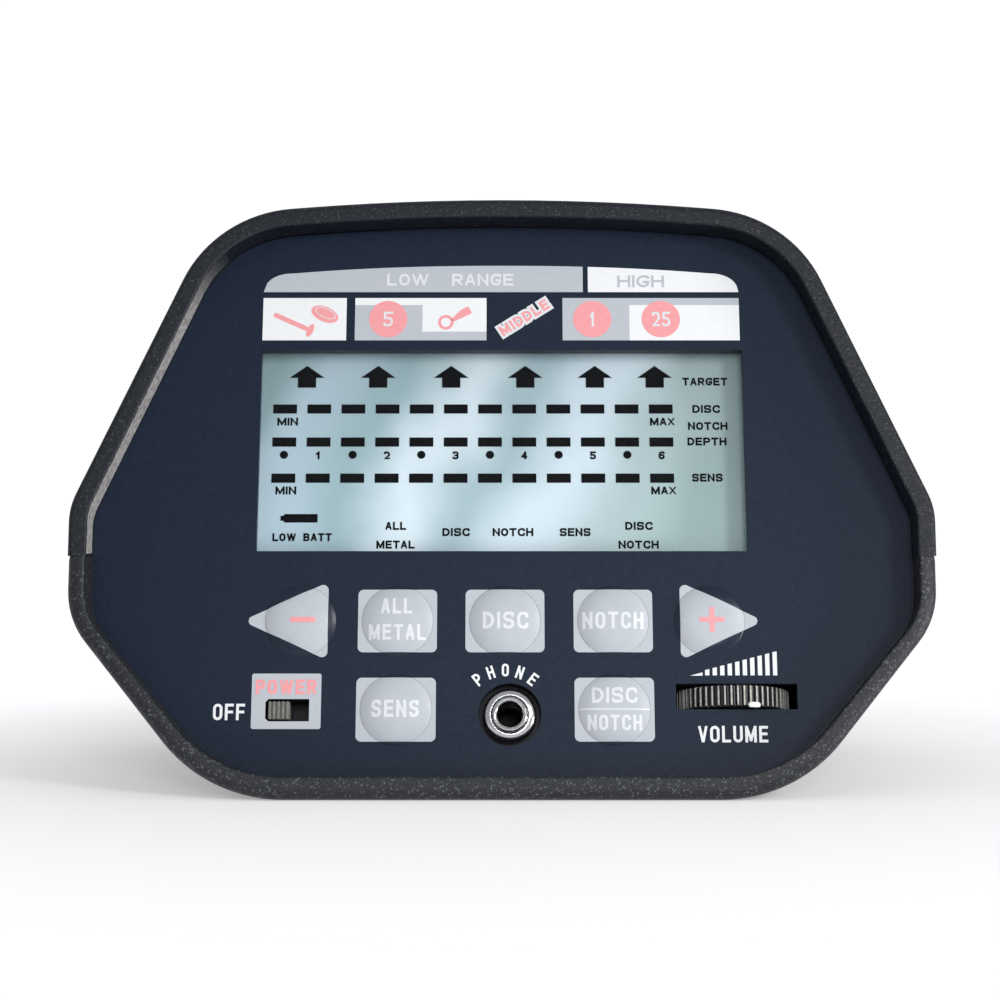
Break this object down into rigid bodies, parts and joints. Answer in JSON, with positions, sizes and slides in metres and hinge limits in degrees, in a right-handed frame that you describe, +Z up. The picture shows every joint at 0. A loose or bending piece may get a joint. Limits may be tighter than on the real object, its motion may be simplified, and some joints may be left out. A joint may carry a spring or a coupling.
{
  "type": "metal detector control head",
  "caption": "Control head of a hand-held metal detector: raked panel with segment display, round keys, slide switch, phone jack and volume wheel in a two-part housing.",
  "frame": {"origin": "on the plane the head stands on, under the middle of its whole length, width and height box", "axes": "+X to the right of someone reading the panel, +Y from the panel towards the rear, +Z up"},
  "size_m": [0.1458, 0.089, 0.1016],
  "materials": {
    "shell_plastic": "coarse spark texture, matte black",
    "panel_plastic": "moulded black",
    "label_film": "satin printed film, blue black",
    "clear_plastic": "clear",
    "display_glass": "pale blue-green liquid crystal",
    "nickel": "bright nickel plate",
    "steel": "zinc-plated sheet",
    "brass": "turned brass",
    "black_plastic": "moulded black",
    "rubber": "soft black",
    "circuit_board": "green solder mask",
    "key_print": "grey-white printed dome",
    "knob_plastic": "ivory grey, ribbed",
    "battery_jacket": "printed steel jacket",
    "paper_cone": "pressed paper",
    "lead_sleeve": "flexible insulation",
    "flat_cable": "grey ribbon"
  },
  "bodies": {
    "housing": {"upper_shell": "shell_plastic", "lower_shell": "shell_plastic", "front_panel": "panel_plastic", "panel_overlay": "label_film", "display_window": "clear_plastic", "lcd_glass": "display_glass", "lcd_bezel": "steel", "lcd_connector_upper": "rubber", "lcd_connector_lower": "rubber", "main_board": "circuit_board", "keypad_board": "circuit_board", "main_chip": "black_plastic", "capacitor": "steel", "ribbon_cable": "flat_cable", "tact_switch_minus": "black_plastic", "tact_switch_all_metal": "black_plastic", "tact_switch_disc": "black_plastic", "tact_switch_notch": "black_plastic", "tact_switch_plus": "black_plastic", "tact_switch_sens": "black_plastic", "tact_switch_disc_notch": "black_plastic", "power_switch_body": "steel", "jack_body": "black_plastic", "jack_bushing": "nickel", "jack_nut": "nickel", "jack_bracket": "steel", "volume_pot_body": "black_plastic", "speaker_frame": "steel", "speaker_cone": "paper_cone", "speaker_magnet": "steel", "battery_left": "battery_jacket", "battery_right": "battery_jacket", "battery_snap_left": "rubber", "battery_snap_right": "rubber", "coil_socket_shell": "nickel", "coil_socket_insert": "black_plastic", "coil_socket_nut": "nickel", "housing_screw_front_left": "steel", "housing_screw_rear_left": "steel", "housing_screw_front_right": "steel", "housing_screw_rear_right": "steel", "stem_insert_front": "brass", "stem_insert_rear": "brass", "battery_lead_left": "lead_sleeve", "battery_lead_right": "lead_sleeve", "speaker_lead": "lead_sleeve", "coil_lead": "lead_sleeve"},
    "key_minus": {"key_minus": "key_print"},
    "key_all_metal": {"key_all_metal": "key_print"},
    "key_disc": {"key_disc": "key_print"},
    "key_notch": {"key_notch": "key_print"},
    "key_plus": {"key_plus": "key_print"},
    "key_sens": {"key_sens": "key_print"},
    "key_disc_notch": {"key_disc_notch": "key_print"},
    "power_knob": {"power_knob": "knob_plastic"},
    "volume_wheel": {"volume_wheel": "black_plastic", "volume_wheel_screw": "nickel"},
    "battery_door_left": {"battery_door_left": "shell_plastic"},
    "battery_door_right": {"battery_door_right": "shell_plastic"}
  },
  "joints": [
    {"name": "key_minus_press", "type": "slide", "parent": "housing", "child": "key_minus", "axis": [0, 0.9703, -0.2419], "range_m": [0, 0.0005], "stiffness_N_per_m": 1500, "springref_m": -0.0004},
    {"name": "key_all_metal_press", "type": "slide", "parent": "housing", "child": "key_all_metal", "axis": [0, 0.9703, -0.2419], "range_m": [0, 0.0005], "stiffness_N_per_m": 1500, "springref_m": -0.0004},
    {"name": "key_disc_press", "type": "slide", "parent": "housing", "child": "key_disc", "axis": [0, 0.9703, -0.2419], "range_m": [0, 0.0005], "stiffness_N_per_m": 1500, "springref_m": -0.0004},
    {"name": "key_notch_press", "type": "slide", "parent": "housing", "child": "key_notch", "axis": [0, 0.9703, -0.2419], "range_m": [0, 0.0005], "stiffness_N_per_m": 1500, "springref_m": -0.0004},
    {"name": "key_plus_press", "type": "slide", "parent": "housing", "child": "key_plus", "axis": [0, 0.9703, -0.2419], "range_m": [0, 0.0005], "stiffness_N_per_m": 1500, "springref_m": -0.0004},
    {"name": "key_sens_press", "type": "slide", "parent": "housing", "child": "key_sens", "axis": [0, 0.9703, -0.2419], "range_m": [0, 0.0005], "stiffness_N_per_m": 1500, "springref_m": -0.0004},
    {"name": "key_disc_notch_press", "type": "slide", "parent": "housing", "child": "key_disc_notch", "axis": [0, 0.9703, -0.2419], "range_m": [0, 0.0005], "stiffness_N_per_m": 1500, "springref_m": -0.0004},
    {"name": "power_knob_slide", "type": "slide", "parent": "housing", "child": "power_knob", "axis": [1, 0, 0], "range_m": [0, 0.0029]},
    {"name": "volume_wheel_turn", "type": "hinge", "parent": "housing", "child": "volume_wheel", "pos_m": [0.0392, -0.02806, 0.01427], "axis": [0, 0.2419, 0.9703], "range_deg": [-160, 110]},
    {"name": "battery_door_left_hinge", "type": "hinge", "parent": "housing", "child": "battery_door_left", "pos_m": [-0.0287, 0.04068, 0.03605], "axis": [1, 0, 0], "range_deg": [0, 95]},
    {"name": "battery_door_right_hinge", "type": "hinge", "parent": "housing", "child": "battery_door_right", "pos_m": [0.0287, 0.04068, 0.03605], "axis": [1, 0, 0], "range_deg": [0, 95]}
  ]
}
